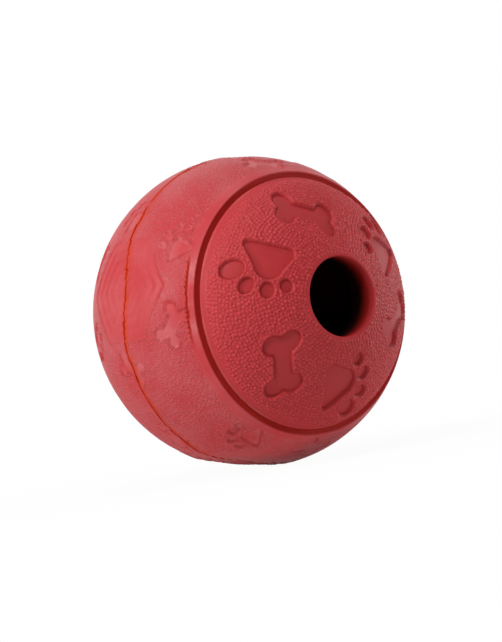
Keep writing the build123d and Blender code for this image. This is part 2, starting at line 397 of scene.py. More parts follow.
def profile_rows(mouth):
    """Rows of a half section, from the inside of the mouth or the inner pole, down the cavity, over the seat
    and the bonded land, and up the outside to the rim and the mouth's wall or the outer pole."""
    slope = np.arcsin(MOUTH_RADIUS / DOME_RADIUS)
    rim_start = MOUTH_RADIUS + MOUTH_ROUND * (1 + np.sin(slope))
    rim_height = DOME_CENTRE + np.sqrt(DOME_RADIUS**2 - rim_start**2)
    cavity_radius = CAVITY_RADIUS if mouth else REAR_CAVITY_RADIUS
    cavity_top = np.arccos(MOUTH_RADIUS / cavity_radius) if mouth else np.pi / 2
    cap_end = np.arctan2(rim_height, rim_start) if mouth else np.pi / 2

    cavity = np.linspace(cavity_top, np.arcsin(SEAT_FACE / cavity_radius), CAVITY_ROWS)
    inside = [
        plain_rows(cavity_radius * np.cos(cavity), cavity_radius * np.sin(cavity), CAVITY_STEP),
        plain_rows(SEAT_RADIUS, [SEAT_FACE, SEAM_HALF], SEAT_STEP),
        plain_rows(SEAT_RADIUS + LAND_ROWS, SEAM_HALF, LAND_STEP),
    ]

    seam = np.arcsin(SEAM_HALF / BALL_RADIUS) + SEAM_ROWS / BALL_RADIUS
    trim = TRIM_LATITUDE + TRIM_ROWS / BALL_RADIUS
    groove = GROOVE_LATITUDE + GROOVE_ROWS / BALL_RADIUS
    groove_start = GROOVE_LATITUDE - GROOVE_REACH / BALL_RADIUS
    low_band = np.arange(seam[-1], FINE_BAND_LATITUDE, LOW_BAND_STEP / BALL_RADIUS)[1:]
    high_band = np.arange(FINE_BAND_LATITUDE, trim[0], HIGH_BAND_STEP / BALL_RADIUS)
    lip = np.linspace(trim[-1], groove_start, LIP_ROWS)[1:-1]
    cap_step = FRONT_CAP_STEP if mouth else REAR_CAP_STEP
    cap = np.linspace(CAP_START, cap_end, int((cap_end - CAP_START) * BALL_RADIUS / cap_step))[:-1]
    outside = [
        outside_rows(np.concatenate([seam, low_band]), LOW_BAND_STEP),
        outside_rows(high_band, HIGH_BAND_STEP),
        outside_rows(trim if mouth else trim[::2], TRIM_STEP if mouth else HIGH_BAND_STEP),
        outside_rows(np.concatenate([lip, groove]), HIGH_BAND_STEP),
        outside_rows(cap, cap_step),
    ]
    if mouth:
        turn = np.linspace(np.pi / 2 - slope, np.pi, RIM_ROWS)
        middle = rim_height - MOUTH_ROUND * np.cos(slope)
        wall = np.linspace(middle, cavity_radius * np.sin(cavity_top), MOUTH_WALL_ROWS)[1:-1]
        rim_radius = MOUTH_RADIUS + MOUTH_ROUND * (1 + np.cos(turn))
        # Painted shade darkens the mouth's wall further down
        mouth_shade_share = smooth((middle - wall) / MOUTH_SHADE_FADE)
        outside.append(plain_rows(rim_radius, middle + MOUTH_ROUND * np.sin(turn), RIM_STEP, 0.0))
        outside.append(plain_rows(MOUTH_RADIUS, wall, MOUTH_WALL_STEP, mouth_shade_share))
    else:
        outside.append(plain_rows(0.0, BALL_RADIUS, MM, 0.0))
    return Rows(*(np.concatenate(parts) for parts in zip(*inside, *outside)))


def stitched(first, first_count, second, second_count):
    """Triangles between two rings: walk both in order of angle, and close one triangle at each step."""
    places = np.concatenate([
        (np.arange(first_count) + 0.5) / first_count,
        (np.arange(second_count) + 0.5) / second_count,
    ])
    on_first = np.argsort(places, kind="stable") < first_count
    at_first = np.cumsum(on_first) - on_first
    at_second = np.cumsum(~on_first) - ~on_first
    onward = np.where(on_first, first + (at_first + 1) % first_count, second + (at_second + 1) % second_count)
    faces = np.stack([first + at_first % first_count, onward, second + at_second % second_count], axis=1)
    return faces[np.where(on_first, first_count > 1, second_count > 1)]


def mesh_object(name, points, faces, attributes):
    """Mesh object from whole arrays, with smooth faces turned outwards and one float attribute per name."""
    corners = points[faces]
    if np.einsum("ij,ij->", corners[:, 0], np.cross(corners[:, 1], corners[:, 2])) < 0:
        faces = faces[:, ::-1]
    mesh = bpy.data.meshes.new(name)
    mesh.vertices.add(len(points))
    mesh.vertices.foreach_set("co", points.astype(np.float32).ravel())
    mesh.loops.add(faces.size)
    mesh.loops.foreach_set("vertex_index", faces.astype(np.int32).ravel())
    mesh.polygons.add(len(faces))
    mesh.polygons.foreach_set("loop_start", np.arange(0, faces.size, faces.shape[1], dtype=np.int32))
    mesh.polygons.foreach_set("use_smooth", np.ones(len(faces), dtype=bool))
    for key, values in attributes.items():
        mesh.attributes.new(key, "FLOAT", "POINT").data.foreach_set("value", values.astype(np.float32))
    mesh.update(calc_edges=True)
    piece = bpy.data.objects.new(name, mesh)
    bpy.context.scene.collection.objects.link(piece)
    return piece


def bone_distance(along, across, length, shares):
    """Signed distance to a bone: the nearest of four round lobes and the bar, blended where they meet. The
    notch between an end's two lobes is shallow, as its mirror line is rounded."""
    lobe_share, spread_share, bar_share, lean_share = shares
    lobe = length * lobe_share
    reach = length / 2 - lobe
    along = np.abs(along + lean_share * across)
    across = np.abs(across)
    rounded = np.hypot(across, BONE_NOTCH_SHARE * length)
    lobes = np.hypot(along - reach, rounded - length * spread_share) - lobe
    bar = np.maximum(along - reach, across - length * bar_share / 2)
    blend = BONE_BLEND_SHARE * length
    overlap = np.maximum(blend - np.abs(lobes - bar), 0.0) / blend
    return np.minimum(lobes, bar) - overlap * overlap * blend / 4


def tapered_bar_distance(along, across, first, second):
    """Signed distance to a bar between two circles, whose radius changes evenly from one to the other."""
    step = second - first
    share = ((along - first[0]) * step[0] + (across - first[1]) * step[1]) / (step[0] ** 2 + step[1] ** 2)
    share = np.clip(share, 0.0, 1.0)
    along = along - first[0] - share * step[0]
    across = across - first[1] - share * step[1]
    return np.hypot(along, across) - first[2] - share * step[2]


def paw_distance(along, across, reach, pad_shares, toe_shares, toe_turns):
    """Signed distance to a paw print: a pad spanned by three circles, or the nearest of its oval toes."""
    rounds = np.array(pad_shares) * reach
    distance = np.full(len(along), np.inf)
    sides = []
    for first, second in zip(rounds, np.roll(rounds, -1, axis=0)):
        distance = np.minimum(distance, tapered_bar_distance(along, across, first, second))
        step = second - first
        sides.append(step[0] * (across - first[1]) - step[1] * (along - first[0]))
    within = np.abs(np.sign(sides).sum(axis=0)) == len(sides)
    distance = np.where(within, np.minimum(distance, -BAND_WALL), distance)
    for (reach_share, length_share, width_share), turn in zip(toe_shares, np.radians(toe_turns)):
        length, width = length_share * reach / 2, width_share * reach / 2
        out = (along * np.cos(turn) + across * np.sin(turn) - reach_share * reach) / length
        side = (across * np.cos(turn) - along * np.sin(turn)) / width
        level = np.hypot(out, side)
        slope = np.maximum(np.hypot(out / length, side / width), 1.0)
        distance = np.minimum(distance, (level - 1) * level / slope)
    return distance


def hexagon_distance(along, across, corner):
    """Signed distance to a hexagon with a corner to each pole: the largest of its three slab distances."""
    slanted = 0.5 * np.sqrt(3.0) * np.abs(across) + 0.5 * np.abs(along)
    return np.maximum(np.abs(along), slanted) - corner * np.sqrt(3.0) / 2


Recess = namedtuple("Recess", "distance middle latitude angle turn depth wall reach")


def bones_and_paws(turned_over):
    """Every bone and paw of one half: its distance, its sphere's middle, its place, depth, wall and reach."""
    dome_middle = np.array([0.0, -DOME_CENTRE, 0.0])
    ball_middle = np.zeros(3)
    cap_bone = partial(bone_distance, length=CAP_BONE_LENGTH, shares=CAP_BONE_SHARES)
    band_bone = partial(bone_distance, length=BAND_BONE_LENGTH, shares=BAND_BONE_SHARES)
    cap_paw = partial(
        paw_distance, reach=CAP_PAW_REACH, pad_shares=CAP_PAD_SHARES, toe_shares=CAP_TOE_SHARES,
        toe_turns=CAP_TOE_TURNS,
    )
    band_paw = partial(
        paw_distance, reach=BAND_PAW_REACH, pad_shares=BAND_PAD_SHARES, toe_shares=BAND_TOE_SHARES,
        toe_turns=BAND_TOE_TURNS,
    )
    seam_bone = partial(bone_distance, length=SEAM_BONE_LENGTH, shares=BAND_BONE_SHARES)
    band_paw_extent = PAW_EXTENT_SHARE * BAND_PAW_REACH
    made = []
    for form, distances, angles, turn, size in (
        (cap_bone, CAP_BONE_DISTANCES, CAP_BONE_ANGLES, CAP_BONE_TURN, CAP_BONE_LENGTH),
        (cap_paw, CAP_PAW_DISTANCES, CAP_PAW_ANGLES, CAP_PAW_TURN, PAW_EXTENT_SHARE * CAP_PAW_REACH),
    ):
        for distance, angle in zip(distances, angles):
            latitude = np.degrees(np.arccos(distance / DOME_RADIUS))
            made.append(Recess(form, dome_middle, latitude, angle, turn, CAP_RECESS_DEPTH, CAP_WALL, size))
    for panel in PANEL_ANGLES:
        for form, latitude, offset, turn, size in (
            (band_bone, BAND_BONE_LATITUDE, BAND_BONE_OFFSET, BAND_BONE_TURN, BAND_BONE_LENGTH),
            (band_paw, BAND_PAW_LATITUDE, BAND_PAW_OFFSET, BAND_PAW_TURN, band_paw_extent),
        ):
            made.append(
                Recess(form, ball_middle, latitude, panel + offset, turn, BAND_RECESS_DEPTH, BAND_WALL, size)
            )
        for form, latitude, offset, turn, size in (
            (seam_bone, SEAM_BONE_LATITUDE, SEAM_BONE_OFFSET, SEAM_BONE_TURN, SEAM_BONE_LENGTH),
            (band_paw, SEAM_PAW_LATITUDE, SEAM_PAW_OFFSET, SEAM_PAW_TURN, band_paw_extent),
        ):
            if turned_over:
                latitude, offset, turn = -latitude, -offset, turn + 180.0
            made.append(
                Recess(form, ball_middle, latitude, panel + offset, turn, SEAM_RECESS_DEPTH, BAND_WALL, size)
            )
    return made


def terraces():
    """Every nested hexagon of one half, each a step deeper than the one around it."""
    made = []
    for step in range(TERRACE_COUNT):
        corner = PANEL_CORNER - step * TERRACE_WIDTH
        form = partial(hexagon_distance, corner=corner)
        extent = HEXAGON_EXTENT_SHARE * corner
        for panel in PANEL_ANGLES:
            made.append(Recess(form, np.zeros(3), 0.0, panel, 0.0, TERRACE_STEP, TERRACE_WALL, extent))
    return made


def tangent_places(points, recess):
    """The points near a recess, their places along and across it on its tangent plane, and its directions."""
    latitude, angle, turn = np.radians([recess.latitude, recess.angle, recess.turn])
    outwards = np.array([np.cos(angle), 0.0, np.sin(angle)])
    east = np.array([-np.sin(angle), 0.0, np.cos(angle)])
    pole = np.array([0.0, -1.0, 0.0])
    upright = np.cos(latitude) * outwards + np.sin(latitude) * pole
    north = np.cos(latitude) * pole - np.sin(latitude) * outwards
    along_way = east * np.cos(turn) + north * np.sin(turn)
    across_way = north * np.cos(turn) - east * np.sin(turn)
    offset = points - recess.middle
    apart = np.linalg.norm(offset - BALL_RADIUS * upright, axis=1)
    near = np.nonzero(apart < recess.reach + RECESS_MARGIN)[0]
    return near, offset[near] @ along_way, offset[near] @ across_way, along_way, across_way


def settled_on_edges(points, recesses):
    """Slide points that lie on a recess's wall to its upper or lower edge, along the distance's slope."""
    nudge = 0.01 * MM
    closest = np.full(len(points), BALL_RADIUS)
    slide = np.zeros_like(points)
    for recess in recesses:
        near, along, across, along_way, across_way = tangent_places(points, recess)
        distance = recess.distance(along, across)
        slope_along = (recess.distance(along + nudge, across) - distance) / nudge
        slope_across = (recess.distance(along, across + nudge) - distance) / nudge
        move = np.where(distance >= 0, recess.wall / 2, -recess.wall / 2) - distance
        step = move[:, None] * (slope_along[:, None] * along_way + slope_across[:, None] * across_way)
        on_wall = (np.abs(distance) < recess.wall / 2) & (np.abs(distance) < closest[near])
        slide[near[on_wall]] = step[on_wall]
        closest[near[on_wall]] = np.abs(distance[on_wall])
    return points + slide


def relief_of(points, recesses):
    """Depth of all recesses together at each point, and the signed distance to the nearest outline."""
    depth = np.zeros(len(points))
    nearest = np.full(len(points), FAR_AWAY)
    for recess in recesses:
        near, along, across, _, _ = tangent_places(points, recess)
        distance = recess.distance(along, across)
        depth[near] += recess.depth * smooth(0.5 - distance / recess.wall)
        nearest[near] = np.minimum(nearest[near], distance)
    return depth, nearest


def pebbles(points, angle, latitude, seed):
    """Round-topped cells from 0 to about 1, one around each pebble's centre: a cell's height falls to a
    narrow valley where the nearest and the second nearest centre are equally far. The centres lie in
    jittered, wavy rows."""
    arc = (latitude - CAP_START) * BALL_RADIUS / PEBBLE_ROW
    arc = arc + PEBBLE_WAVE_SHARE * drift(points, PEBBLE_WAVELENGTH, seed)
    near = np.full(len(angle), np.inf)
    second = near.copy()
    tall = np.ones(len(angle))
    for row_step in (-1, 0, 1):
        row = np.floor(arc).astype(np.int64) + row_step
        count = pebble_count(row)
        place = angle / TURN * count - hashed(row, 0 * row, seed)
        for column_step in (-1, 0, 1):
            column = np.floor(place).astype(np.int64) + column_step
            pebble = column % count
            along = place - column - 0.5 - PEBBLE_JITTER_SHARE * (hashed(row, pebble, seed + 1) - 0.5)
            across = (arc - row - 0.5) * PEBBLE_ROW / PEBBLE_PITCH
            across = across - PEBBLE_JITTER_SHARE * (hashed(row, pebble, seed + 2) - 0.5)
            apart = np.hypot(along, across)
            size = PEBBLE_LOW_SHARE + PEBBLE_SPREAD_SHARE * hashed(row, pebble, seed + 3)
            tall = np.where(apart < near, size, tall)
            second = np.minimum(second, np.maximum(near, apart))
            near = np.minimum(near, apart)
    rise = np.clip((second - near) / PEBBLE_VALLEY_SHARE, 0.0, 1.0)
    fall = PEBBLE_FALL_SHARE * np.minimum(near / PEBBLE_EDGE_SHARE, 1.0) ** 2
    return tall * (1 - (1 - rise) ** 2) * (1 - fall)


def trim_marks(angle, latitude):
    """Ragged trim line beside the groove: a thin notch, which also carries painted shade, with a row of
    hooked teeth on its outer side, the stain between the teeth, and the strip from the line to the groove,
    which carries a painted highlight. All fade at the line's ends."""
    first, last = TRIM_ANGLES
    along = angle * BALL_RADIUS * np.cos(TRIM_LATITUDE) / TRIM_TOOTH
    tooth = np.floor(along).astype(np.int64)
    hook = np.clip(1 - TRIM_HOOK_SLOPE * (along - tooth), 0.0, 1.0)
    across = (latitude - TRIM_LATITUDE) * BALL_RADIUS
    across = across - TRIM_SWAY * (hashed(tooth, 0 * tooth, TRIM_SWAY_SEED) - 0.5)
    outer_width = TRIM_THIN_WIDTH + TRIM_TOOTH_WIDTH * hook * hashed(tooth, 0 * tooth, TRIM_TOOTH_SEED)
    width = np.where(across < 0, outer_width, TRIM_INNER_WIDTH)
    ends = smooth((angle - first) / TRIM_FADE_IN) * smooth((last - angle) / TRIM_FADE_OUT)
    notch = (1 - ramp(np.abs(across), width, TRIM_EDGE)) * ends
    stain = ramp(across, -TRIM_STAIN_REACH, TRIM_STAIN_FADE) * (across < 0) * ends
    strip = smooth(across / TRIM_STRIP_FADE) * ends
    strip = strip * smooth((BAND_EDGE - latitude) * BALL_RADIUS / TRIM_STRIP_FADE)
    return np.stack([notch, stain, strip])


def grain_amounts(latitude, radius, height, nearest, mouth):
    """Amounts of pebble grain on the cap and fine grain on the band: none by edges, groove, mouth or seam."""
    clear = ramp(nearest, *EDGE_GRAIN)
    to_groove = BALL_RADIUS * np.abs(latitude - GROOVE_LATITUDE)
    cap_grain = clear * ramp(to_groove, *CAP_GRAIN)
    if mouth:
        cap_grain *= ramp(radius - MOUTH_RADIUS, *MOUTH_GRAIN)
    band_grain = clear * ramp(to_groove, *BAND_GRAIN) * ramp(height, *SEAM_GRAIN)
    on_cap = latitude > CAP_START
    return np.where(on_cap, cap_grain, 0.0), np.where(on_cap, 0.0, band_grain)


def half_shell(name, mouth, turned_over, seed):
    """One half shell: its rings around the axis, pushed in by recesses and terraces and out by pebbles."""
    rows = profile_rows(mouth)
    firsts = np.concatenate([[0], np.cumsum(rows.count)[:-1]])
    ring = np.repeat(np.arange(len(rows.count)), rows.count)
    angle = TURN * (np.arange(len(ring)) - firsts[ring]) / rows.count[ring]
    radius, height = rows.radius[ring], rows.height[ring]
    outer, inside = rows.outer[ring], rows.inside[ring]
    points = np.stack([radius * np.cos(angle), -height, radius * np.sin(angle)], axis=1)

    motifs, panels = bones_and_paws(turned_over), terraces()
    off_trim = np.abs(np.arctan2(height, radius) - TRIM_LATITUDE) * BALL_RADIUS
    settles = outer * ramp(off_trim, *TRIM_SETTLING)
    points = points + settles[:, None] * (settled_on_edges(points, motifs + panels) - points)
    distance = np.linalg.norm(points, axis=1)
    latitude = np.arcsin(np.clip(-points[:, 1] / distance, -1.0, 1.0))
    angle = np.arctan2(points[:, 2], points[:, 0]) % TURN
    on_cap = latitude > CAP_START
    worn = WORN_SHARE + (1 - WORN_SHARE) * ramp(points[:, 2], *BOTTOM_WEAR)
    above = UNDERSIDE_SHARE + (1 - UNDERSIDE_SHARE) * ramp(points[:, 2], *UNDERSIDE_FADE)

    motif_depth, motif = relief_of(points, motifs)
    motif_depth = np.where(on_cap, motif_depth, worn * motif_depth)
    panel_depth, panel = relief_of(points, panels)
    nearest = np.minimum(motif, panel)
    pebble_grain, band_grain = grain_amounts(latitude, radius, height, nearest, mouth)
    dome = pebbles(points, angle, latitude, seed)
    rim = np.exp(-(((nearest - RIM_PLACE) / RIM_WIDTH) ** 2))
    notch, stain, strip = trim_marks(angle, latitude) * outer * mouth

    floor = smooth(-motif / FLOOR_FADE)
    off_wall = smooth(np.abs(motif + WALL_PLACE) / WALL_FADE)
    floor_sheen = BAND_SHEEN_SHARE + (1 - BAND_SHEEN_SHARE) * floor * ramp(latitude, *SHEEN_LATITUDES)
    sheen = np.where(on_cap, CAP_SHEEN_SHARE * off_wall, floor_sheen)
    stain_reach = FRONT_STAIN_REACH if mouth else REAR_STAIN_REACH
    patchy = STAIN_SHARE + STAIN_DRIFT_SHARE * drift(points, STAIN_WAVELENGTH, STAIN_SEED)
    patchy = np.clip(patchy, 0.0, 1.0)
    smear = np.maximum(np.exp(-((height / stain_reach) ** 2)) * patchy, TRIM_STAIN_SHARE * stain)
    # Painted shade in the groove and the trim's notch
    groove = np.maximum(smooth(GROOVE_SHADE_SPREAD * groove_share(latitude)), notch)
    # Painted shade: dark creases along the foot of the recesses' walls, weaker on the band higher up and at
    # the worn bottom, and in the trim's notch
    painted_crease_shade = np.exp(-(((motif + CREASE_PLACE) / CREASE_WIDTH) ** 2))
    painted_crease_shade *= np.where(on_cap, 1.0, worn * (LOW_CREASE_SHARE - CREASE_FALL_SHARE * above))
    painted_crease_shade = np.maximum(painted_crease_shade, TRIM_NOTCH_SHADE_SHARE * notch)
    # Painted light and shade in the red: darker on the cap's recess floors and higher up the band, and darker
    # between the pebbles
    band_painted_light = LOW_LIGHT_SHARE - ABOVE_SHADE_SHARE * above
    light = np.where(on_cap, CAP_LIGHT_SHARE - FLOOR_SHADE_SHARE * floor, band_painted_light)
    # Bloom on the band, partly painted sheen, with a painted highlight on the trim's strip and painted sheen
    # on the recess floors
    band_bloom_and_sheen = BAND_BLOOM + STRIP_HIGHLIGHT_BLOOM * strip + RECESS_SHEEN_BLOOM * smooth(-motif / BLOOM_FADE)

    lift = PEBBLE_HEIGHT * (dome - 0.5) * pebble_grain + RIM_RISE * rim * on_cap - motif_depth - panel_depth
    lift += UNEVEN_HEIGHT * drift(points, UNEVEN_WAVELENGTH, seed) - TRIM_DEPTH * notch
    lift -= SEAM_DIP * np.exp(-height / SEAM_DIP_REACH)
    outward = points - np.where(on_cap[:, None], np.array([0.0, -DOME_CENTRE, 0.0]), 0.0)
    outward /= np.linalg.norm(outward, axis=1)[:, None]
    points = points + outward * (lift * outer)[:, None]
    if turned_over:
        turn = np.radians(PANEL_ANGLES[0])
        axis = np.array([np.cos(turn), 0.0, np.sin(turn)])
        points = 2 * (points @ axis)[:, None] * axis - points

    pairs = list(zip(range(len(firsts) - 1), range(1, len(firsts))))
    if mouth:
        pairs.append((len(firsts) - 1, 0))
    faces = np.concatenate([stitched(firsts[a], rows.count[a], firsts[b], rows.count[b]) for a, b in pairs])
    return mesh_object(name, points, faces, {
        # Painted light and shade: darker between the pebbles, on the cap's recess floors and higher up the
        # band
        "pebble": light + (dome - 0.5) * pebble_grain * outer,
        "fine_grain": band_grain * outer,
        "sleek": sheen * outer * above * (1 - smear) * (1 - groove),
        "painted_crease_shade": painted_crease_shade * outer,
        "smear": smear * outer,
        # Painted shade of the cavity and the mouth's wall
        "inside": inside,
        # Painted shade in the groove and the trim's notch, and down the mouth's wall
        "groove": np.maximum(groove * outer, smooth(MOUTH_SHADE_SPREAD * inside)),
        "bloom": np.where(on_cap, CAP_BLOOM, band_bloom_and_sheen) * outer,
    })


def cement_bead():
    """Bonding layer: a thin ring in the seam, whose outer edge is a ragged bead that follows the panels."""
    angle = TURN * np.arange(BEAD_POINTS) / BEAD_POINTS
    edge = np.stack([BALL_RADIUS * np.cos(angle), 0 * angle, BALL_RADIUS * np.sin(angle)], axis=1)
    surface = BALL_RADIUS - relief_of(edge, bones_and_paws(False) + terraces())[0] - BEAD_SINK
    column = np.arange(BEAD_POINTS) // 2
    ragged = hashed(column, 0 * column, BEAD_RAGGED_SEED) - 0.5
    shifted = hashed(column // 2, 0 * column, BEAD_SHIFT_SEED) - 0.5
    proud = BEAD_PROUD + BEAD_PROUD_DRIFT * drift(edge, BEAD_PROUD_WAVELENGTH, BEAD_PROUD_SEED)
    proud += BEAD_PROUD_RAGGED * ragged
    half_width = BEAD_HALF_WIDTH + BEAD_SHORT_DRIFT * drift(edge, BEAD_SHORT_WAVELENGTH, BEAD_SHORT_SEED)
    wide = BEAD_LONG_DRIFT * drift(edge, BEAD_LONG_WAVELENGTH, BEAD_LONG_SEED)
    half_width += wide + BEAD_WIDTH_RAGGED * ragged
    sway = BEAD_SWAY_DRIFT * drift(edge, BEAD_SWAY_WAVELENGTH, BEAD_SWAY_SEED)
    sway = sway + BEAD_SWAY_RAGGED * shifted
    turns = BEAD_TURNS[:, None]
    hidden = surface - BEAD_HIDDEN
    seat = np.full(BEAD_POINTS, SEAT_RADIUS)
    bead = surface - BEAD_SINK + (proud + BEAD_SINK) * np.cos(turns)
    radius = np.concatenate([[seat, hidden], bead, [hidden, seat]])
    flat = np.full(BEAD_POINTS, SEAM_HALF)
    height = np.concatenate([[-flat, -flat], sway + half_width * np.sin(turns), [flat, flat]])
    points = np.stack([radius * np.cos(angle), height, radius * np.sin(angle)], axis=2)
    starts = BEAD_POINTS * np.arange(len(radius))
    faces = [stitched(a, BEAD_POINTS, b, BEAD_POINTS) for a, b in zip(starts, np.roll(starts, -1))]
    return mesh_object("seam_bead", points.reshape(-1, 3), np.concatenate(faces), {})


# Colours of the rubber, from the painted shade between pebbles to the palest bloom, and of the marks on it
VALLEY_SHADE_RED = (0.4, 0.024, 0.028, 1)
PEBBLE_RED = (0.56, 0.044, 0.051, 1)
RIDGE_PINK = (0.62, 0.16, 0.18, 1)
# Pale bloom, which on the band also paints sheen and highlight
BLOOM_PINK = (0.62, 0.2, 0.21, 1)
SMEAR_ORANGE = (0.56, 0.045, 0.012, 1)
# Painted shade in the creases at the foot of the recesses' walls
CREASE_SHADE_RED = (0.2, 0.006, 0.006, 1)
# Painted shade in the groove, the trim's notch and down the mouth
GROOVE_SHADE_RED = (0.37, 0.014, 0.009, 1)
# Painted shade of the cavity and down the mouth
INSIDE_SHADE_DARK = (0.008, 0.0005, 0.0005, 1)
CEMENT_RED = (0.38, 0.014, 0.002, 1)
CEMENT_ORANGE = (0.55, 0.04, 0.006, 1)
# Painted shade: the disc inside the ball is painted nearly black, with pale bloom
INNER_SHADE_RED = (0.06, 0.005, 0.005, 1)
INNER_PALE = (0.09, 0.012, 0.012, 1)

# Grain in the materials: cells per metre, height and roughening on the band and on the plain rubbers, the
# band's grain where it is smooth, its pink ridges, the cells' scatter and the roughening's fineness
BAND_CELLS = 1700.0
BAND_GRAIN_HEIGHT = 0.31 * MM
BAND_ROUGHENING = 0.3
FINE_CELLS = 2000.0
FINE_GRAIN_HEIGHT = 0.03 * MM
FINE_ROUGHENING = 1.0
SMOOTH_GRAIN = 0.05
RIDGE_SHARE = 0.6
CELL_SCATTER = 0.6
ROUGHENING_FINENESS = 1.7

# Bloom in the materials: patches per metre and cover, the noise between bare and covered, and the specks
BLOOM_PATCHES = 110.0
BLOOM_COVER = 0.22
FINE_PATCHES = 400.0
FINE_COVER = 0.5
BLOOM_DETAIL = 4.0
BARE_NOISE, COVERED_NOISE = 0.38, 0.68
SPECK_FINENESS = 14.0
SPECK_FLOOR = 0.4

# Roughness and specular level of the surfaces, coat of the moulded rubber, and strength of its painted shade
# in the creases and the groove
RUBBER_SURFACE = (0.6, 0.1)
PLAIN_SURFACE = (0.8, 0.02)
SHEET_SURFACE = (0.9, 0.2)
COAT_WEIGHT = 0.7
COAT_ROUGHNESS = 0.4
COAT_IOR = 1.35
CREASE_SHADE_STRENGTH = 0.5
GROOVE_SHADE_STRENGTH = 0.95


def link(tree, value, socket):
    """Link an output socket to an input, or set the input's plain value."""
    if isinstance(value, bpy.types.NodeSocket):
        tree.links.new(value, socket)
    else:
        socket.default_value = value


def add_node(tree, kind, inputs=(), **settings):
    """Add a node, set its settings, and link or set its inputs by name or number."""
    made = tree.nodes.new(kind)
    for key, value in settings.items():
        setattr(made, key, value)
    for key, value in dict(inputs).items():
        link(tree, value, made.inputs[key])
    return made


def combined(tree, operation, first, second=0.0):
    """One math step on two values, as an output socket."""
    return add_node(tree, "ShaderNodeMath", {0: first, 1: second}, operation=operation).outputs[0]


def mixed(tree, factor, first, second):
    """Mix of two colours, as an output socket."""
    return add_node(tree, "ShaderNodeMix", {0: factor, 6: first, 7: second}, data_type="RGBA").outputs[2]


def attribute(tree, name, weight=1.0):
    """A mesh attribute's value times a weight, as an output socket."""
    value = add_node(tree, "ShaderNodeAttribute", attribute_name=name).outputs["Fac"]
    return value if weight == 1.0 else combined(tree, "MULTIPLY", value, weight)


def new_group(name, inputs, output):
    """Shader node group with number sockets; gives the group, its input node and its output socket."""
    group = bpy.data.node_groups.new(name, "ShaderNodeTree")
    for socket_name in inputs:
        group.interface.new_socket(socket_name, in_out="INPUT", socket_type="NodeSocketFloat")
    group.interface.new_socket(output, in_out="OUTPUT", socket_type="NodeSocketFloat")
    return group, group.nodes.new("NodeGroupInput"), group.nodes.new("NodeGroupOutput").inputs[0]


def fine_grain_group():
    """Fine moulded grain: small round cells roughened by noise, as a height from 0 to 1."""
    group, given, height = new_group("fine_grain", ("Cells per metre", "Roughening"), "Height")
    place = add_node(group, "ShaderNodeTexCoord").outputs["Object"]
    scale = given.outputs["Cells per metre"]
    scattered = {"Vector": place, "Scale": scale, "Randomness": CELL_SCATTER}
    cells = add_node(group, "ShaderNodeTexVoronoi", scattered).outputs["Distance"]
    bumps = combined(group, "SUBTRACT", 1.0, combined(group, "MULTIPLY", cells, cells))
    finer = combined(group, "MULTIPLY", scale, ROUGHENING_FINENESS)
    noise = add_node(group, "ShaderNodeTexNoise", {"Vector": place, "Scale": finer}).outputs["Fac"]
    rough = combined(group, "MULTIPLY", noise, given.outputs["Roughening"])
    link(group, combined(group, "ADD", bumps, rough), height)
    return group


def bloom_group():
    """Pale bloom that rises to the surface of rubber, in soft speckled patches: a mask from 0 to 1."""
    group, given, mask = new_group("rubber_bloom", ("Patches per metre", "Cover"), "Mask")
    place = add_node(group, "ShaderNodeTexCoord").outputs["Object"]
    scale = given.outputs["Patches per metre"]
    noise = add_node(group, "ShaderNodeTexNoise", {"Vector": place, "Scale": scale, "Detail": BLOOM_DETAIL})
    finer = combined(group, "MULTIPLY", scale, SPECK_FINENESS)
    specks = add_node(group, "ShaderNodeTexNoise", {"Vector": place, "Scale": finer}).outputs["Fac"]
    patches = {"Value": noise.outputs["Fac"], "From Min": BARE_NOISE, "From Max": COVERED_NOISE}
    spread = add_node(group, "ShaderNodeMapRange", patches).outputs[0]
    speckled = combined(group, "MULTIPLY", spread, combined(group, "ADD", SPECK_FLOOR, specks))
    link(group, combined(group, "MULTIPLY", speckled, given.outputs["Cover"]), mask)
    return group


def new_material(name, roughness, specular):
    """Material with its principled shader's plain values set."""
    material = bpy.data.materials.new(name)
    material.use_nodes = True
    shader = material.node_tree.nodes["Principled BSDF"]
    shader.inputs["Roughness"].default_value = roughness
    shader.inputs["Specular IOR Level"].default_value = specular
    return material, material.node_tree, shader


def grained(tree, shader, grain, cells, roughening, amount, height):
    """Bump the shader's surface with the grain, weighted by an amount."""
    field = add_node(tree, "ShaderNodeGroup", node_tree=grain)
    field.inputs["Cells per metre"].default_value = cells
    field.inputs["Roughening"].default_value = roughening
    weighted = combined(tree, "MULTIPLY", field.outputs["Height"], amount)
    bump = add_node(tree, "ShaderNodeBump", {"Height": weighted, "Strength": 1.0, "Distance": height})
    link(tree, bump.outputs["Normal"], shader.inputs["Normal"])
    return field.outputs["Height"]


